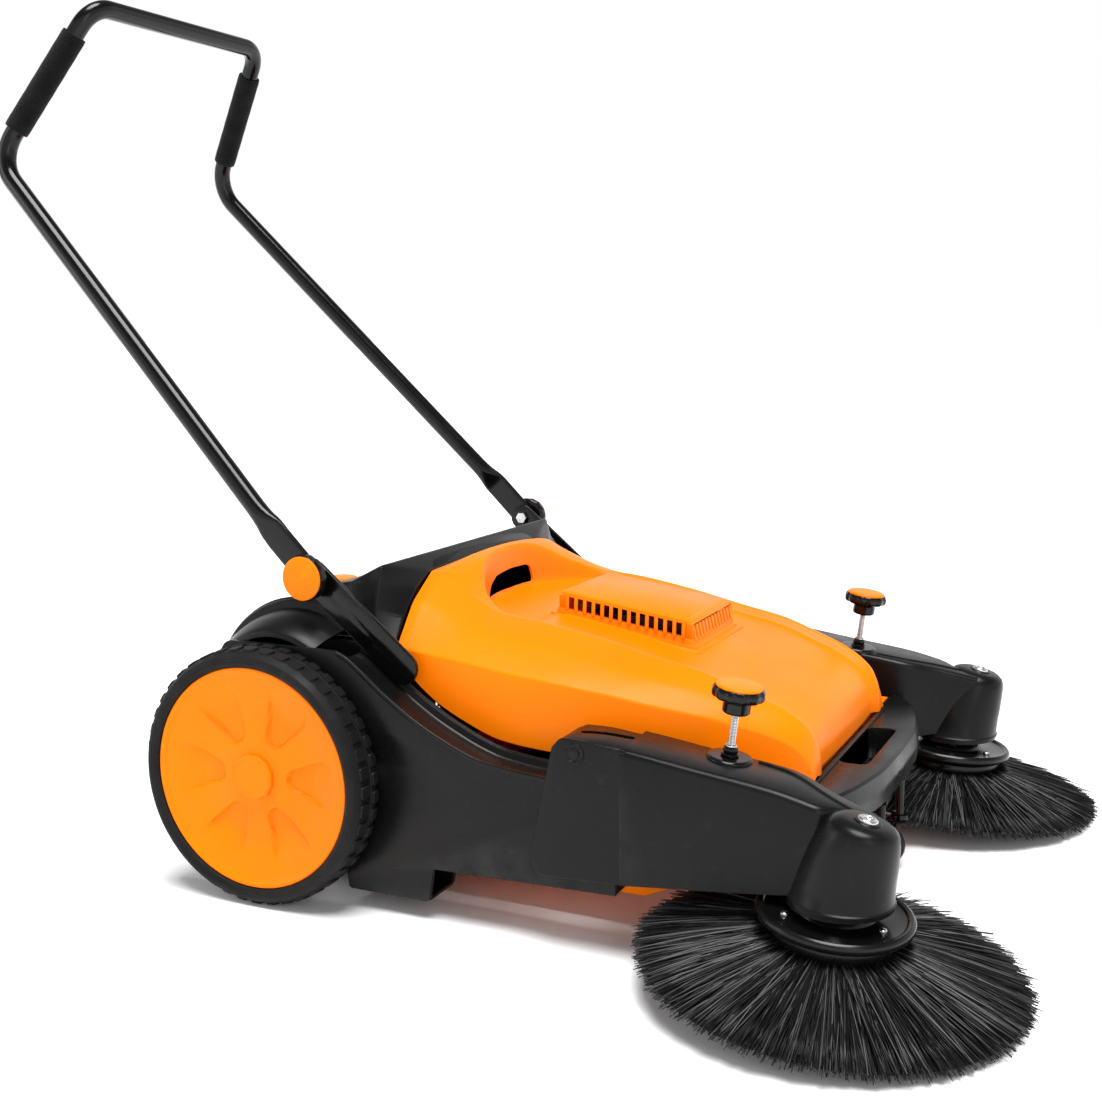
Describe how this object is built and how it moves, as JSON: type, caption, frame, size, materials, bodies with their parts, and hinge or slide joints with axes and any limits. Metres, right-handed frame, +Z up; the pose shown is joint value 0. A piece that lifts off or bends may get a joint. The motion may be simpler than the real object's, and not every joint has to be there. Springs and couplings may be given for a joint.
{
  "type": "carpet sweeper",
  "caption": "Push sweeper with two side brushes on tilting arms, a wheel-driven roller brush, a lift-out hopper under an orange hood and a folding U-shaped handle.",
  "frame": {"origin": "bottom centre of the bounding box, on the floor", "axes": "+X is the way it is pushed, +Y is its left side, +Z is up"},
  "size_m": [1.325, 1.028, 1.08],
  "materials": {
    "black_plastic": "moulded, satin",
    "black_gloss": "moulded, glossy",
    "orange_plastic": "moulded, glossy",
    "gear_plastic": "moulded nylon",
    "black_paint": "powder coated, glossy",
    "steel": "zinc plated",
    "tyre_rubber": "matt rubber",
    "belt_rubber": "matt rubber",
    "foam": "closed-cell foam",
    "bristle": "stiff synthetic bristle"
  },
  "bodies": {
    "chassis": {"left_side_frame": "black_plastic", "right_side_frame": "black_plastic", "brush_housing": "black_plastic", "rear_cover": "black_plastic", "front_bumper": "black_plastic", "left_handle_bracket": "black_paint", "right_handle_bracket": "black_paint", "left_stub_axle": "steel", "right_stub_axle": "steel", "left_roller_bearing": "steel", "right_roller_bearing": "steel"},
    "roller_adjuster": {"brush_height_knob": "orange_plastic"},
    "roller_brush": {"roller_shaft": "gear_plastic", "roller_bristles": "bristle", "roller_pinion": "gear_plastic"},
    "handle": {"handle_tube": "black_paint", "left_grip": "foam", "right_grip": "foam", "left_pivot_bolt": "steel", "right_pivot_bolt": "steel"},
    "hopper": {"hopper_bin": "orange_plastic", "hopper_hood": "orange_plastic", "vent_cover": "orange_plastic"},
    "left_wheel": {"left_tyre": "tyre_rubber", "left_wheel_disc": "orange_plastic", "left_hub_cap": "orange_plastic", "left_wheel_pulley": "gear_plastic", "drive_gear": "gear_plastic"},
    "left_arm": {"left_arm_cover": "black_plastic", "left_arm_bolt": "steel", "left_arm_belt": "belt_rubber"},
    "left_height_adjuster": {"left_height_spindle": "steel", "left_height_knob": "black_gloss", "left_height_knob_cap": "orange_plastic"},
    "left_pulley": {"left_arm_pulley": "gear_plastic"},
    "left_side_brush": {"left_brush_plate": "black_gloss", "left_brush_bristles": "bristle", "left_brush_spindle": "steel"},
    "left_handle_clamp": {"left_clamp_knob": "black_gloss", "left_clamp_knob_cap": "orange_plastic"},
    "left_caster": {"left_caster_fork": "black_paint"},
    "left_caster_roller": {"left_caster_wheel": "tyre_rubber"},
    "right_wheel": {"right_tyre": "tyre_rubber", "right_wheel_disc": "orange_plastic", "right_hub_cap": "orange_plastic", "right_wheel_pulley": "gear_plastic"},
    "right_arm": {"right_arm_cover": "black_plastic", "right_arm_bolt": "steel", "right_arm_belt": "belt_rubber"},
    "right_height_adjuster": {"right_height_spindle": "steel", "right_height_knob": "black_gloss", "right_height_knob_cap": "orange_plastic"},
    "right_pulley": {"right_arm_pulley": "gear_plastic"},
    "right_side_brush": {"right_brush_plate": "black_gloss", "right_brush_bristles": "bristle", "right_brush_spindle": "steel"},
    "right_handle_clamp": {"right_clamp_knob": "black_gloss", "right_clamp_knob_cap": "orange_plastic"},
    "right_caster": {"right_caster_fork": "black_paint"},
    "right_caster_roller": {"right_caster_wheel": "tyre_rubber"}
  },
  "joints": [
    {"name": "left_wheel_spin", "type": "hinge", "parent": "chassis", "child": "left_wheel", "pos_m": [-0.19174, 0.35, 0.15], "axis": [0, 1, 0], "continuous": true},
    {"name": "left_arm_tilt", "type": "hinge", "parent": "chassis", "child": "left_arm", "pos_m": [0.19826, 0.338, 0.218], "axis": [0, -1, 0], "range_deg": [-1.5, 8]},
    {"name": "left_height_turn", "type": "hinge", "parent": "left_arm", "child": "left_height_adjuster", "pos_m": [0.34666, 0.2807, 0.2186], "axis": [0.1323, 0, 0.9912], "range_deg": [-300, 1600]},
    {"name": "left_pulley_spin", "type": "hinge", "parent": "left_arm", "child": "left_pulley", "pos_m": [0.28694, 0.29056, 0.09859], "axis": [0.0872, 0.0348, 0.9956], "continuous": true},
    {"name": "left_brush_spin", "type": "hinge", "parent": "left_arm", "child": "left_side_brush", "pos_m": [0.46626, 0.316, 0.082], "axis": [0.0872, 0.0348, 0.9956], "continuous": true},
    {"name": "left_clamp_turn", "type": "hinge", "parent": "handle", "child": "left_handle_clamp", "pos_m": [-0.15964, 0.296, 0.3713], "axis": [0, 1, 0], "range_deg": [0, 720]},
    {"name": "left_caster_swivel", "type": "hinge", "parent": "chassis", "child": "left_caster", "pos_m": [0.45326, 0.052, 0.09], "axis": [0, 0, 1], "continuous": true},
    {"name": "left_caster_spin", "type": "hinge", "parent": "left_caster", "child": "left_caster_roller", "pos_m": [0.43526, 0.052, 0.025], "axis": [0, 1, 0], "continuous": true},
    {"name": "right_wheel_spin", "type": "hinge", "parent": "chassis", "child": "right_wheel", "pos_m": [-0.19174, -0.35, 0.15], "axis": [0, 1, 0], "continuous": true},
    {"name": "right_arm_tilt", "type": "hinge", "parent": "chassis", "child": "right_arm", "pos_m": [0.19826, -0.338, 0.218], "axis": [0, -1, 0], "range_deg": [-1.5, 8]},
    {"name": "right_height_turn", "type": "hinge", "parent": "right_arm", "child": "right_height_adjuster", "pos_m": [0.34666, -0.2807, 0.2186], "axis": [0.1323, 0, 0.9912], "range_deg": [-300, 1600]},
    {"name": "right_pulley_spin", "type": "hinge", "parent": "right_arm", "child": "right_pulley", "pos_m": [0.28694, -0.29056, 0.09859], "axis": [0.0872, -0.0348, 0.9956], "continuous": true},
    {"name": "right_brush_spin", "type": "hinge", "parent": "right_arm", "child": "right_side_brush", "pos_m": [0.46626, -0.316, 0.082], "axis": [0.0872, -0.0348, 0.9956], "continuous": true},
    {"name": "right_clamp_turn", "type": "hinge", "parent": "handle", "child": "right_handle_clamp", "pos_m": [-0.15964, -0.296, 0.3713], "axis": [0, -1, 0], "range_deg": [0, 720]},
    {"name": "right_caster_swivel", "type": "hinge", "parent": "chassis", "child": "right_caster", "pos_m": [0.45326, -0.052, 0.09], "axis": [0, 0, 1], "continuous": true},
    {"name": "right_caster_spin", "type": "hinge", "parent": "right_caster", "child": "right_caster_roller", "pos_m": [0.43526, -0.052, 0.025], "axis": [0, 1, 0], "continuous": true},
    {"name": "roller_spin", "type": "hinge", "parent": "chassis", "child": "roller_brush", "pos_m": [-0.13014, 0, 0.09], "axis": [0, 1, 0], "continuous": true},
    {"name": "handle_fold", "type": "hinge", "parent": "chassis", "child": "handle", "pos_m": [-0.15964, 0, 0.3713], "axis": [0, 1, 0], "range_deg": [-20, 115]},
    {"name": "roller_adjuster_turn", "type": "hinge", "parent": "chassis", "child": "roller_adjuster", "pos_m": [-0.20374, -0.15, 0.343], "axis": [0, 0, 1], "range_deg": [-540, 540]},
    {"name": "hopper_lift", "type": "slide", "parent": "chassis", "child": "hopper", "axis": [0, 0, 1], "range_m": [0, 0.12]}
  ],
  "couplings": [
    {"joint": "left_height_turn", "follows": "left_arm_tilt", "ratio": 188},
    {"joint": "left_pulley_spin", "follows": "left_wheel_spin", "ratio": -2.5},
    {"joint": "left_brush_spin", "follows": "left_wheel_spin", "ratio": -2.5},
    {"joint": "right_height_turn", "follows": "right_arm_tilt", "ratio": 188},
    {"joint": "right_pulley_spin", "follows": "right_wheel_spin", "ratio": 2.5},
    {"joint": "right_brush_spin", "follows": "right_wheel_spin", "ratio": 2.5},
    {"joint": "roller_spin", "follows": "left_wheel_spin", "ratio": -4}
  ]
}
